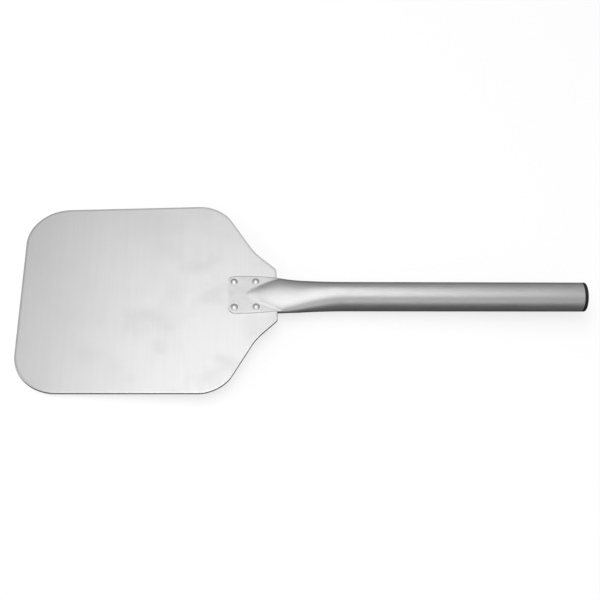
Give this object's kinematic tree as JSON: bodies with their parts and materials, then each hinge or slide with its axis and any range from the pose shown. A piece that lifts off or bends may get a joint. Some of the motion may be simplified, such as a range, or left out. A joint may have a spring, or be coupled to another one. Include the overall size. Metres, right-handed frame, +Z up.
{
  "type": "pizza peel",
  "caption": "All-aluminium pizza peel: a flat sheet blade with rounded corners riveted into the pressed, slotted end of a round tube handle with a plastic end plug.",
  "frame": {"origin": "centre of the footprint, on the surface that the peel lies on", "axes": "+X from the blade towards the handle's far end, +Y across the blade, +Z up from the blade's working face"},
  "size_m": [0.73, 0.2836, 0.0477],
  "materials": {
    "blade_aluminium": "fine satin sheet, rolling grain across the blade",
    "handle_aluminium": "satin drawn tube",
    "rivet_aluminium": "smooth formed heads",
    "cap_plastic": "fine matt moulded black"
  },
  "bodies": {
    "root": {"blade": "blade_aluminium", "handle_tube": "handle_aluminium", "rivet_front_left": "rivet_aluminium", "rivet_front_right": "rivet_aluminium", "rivet_rear_left": "rivet_aluminium", "rivet_rear_right": "rivet_aluminium", "end_cap": "cap_plastic"}
  },
  "joints": []
}
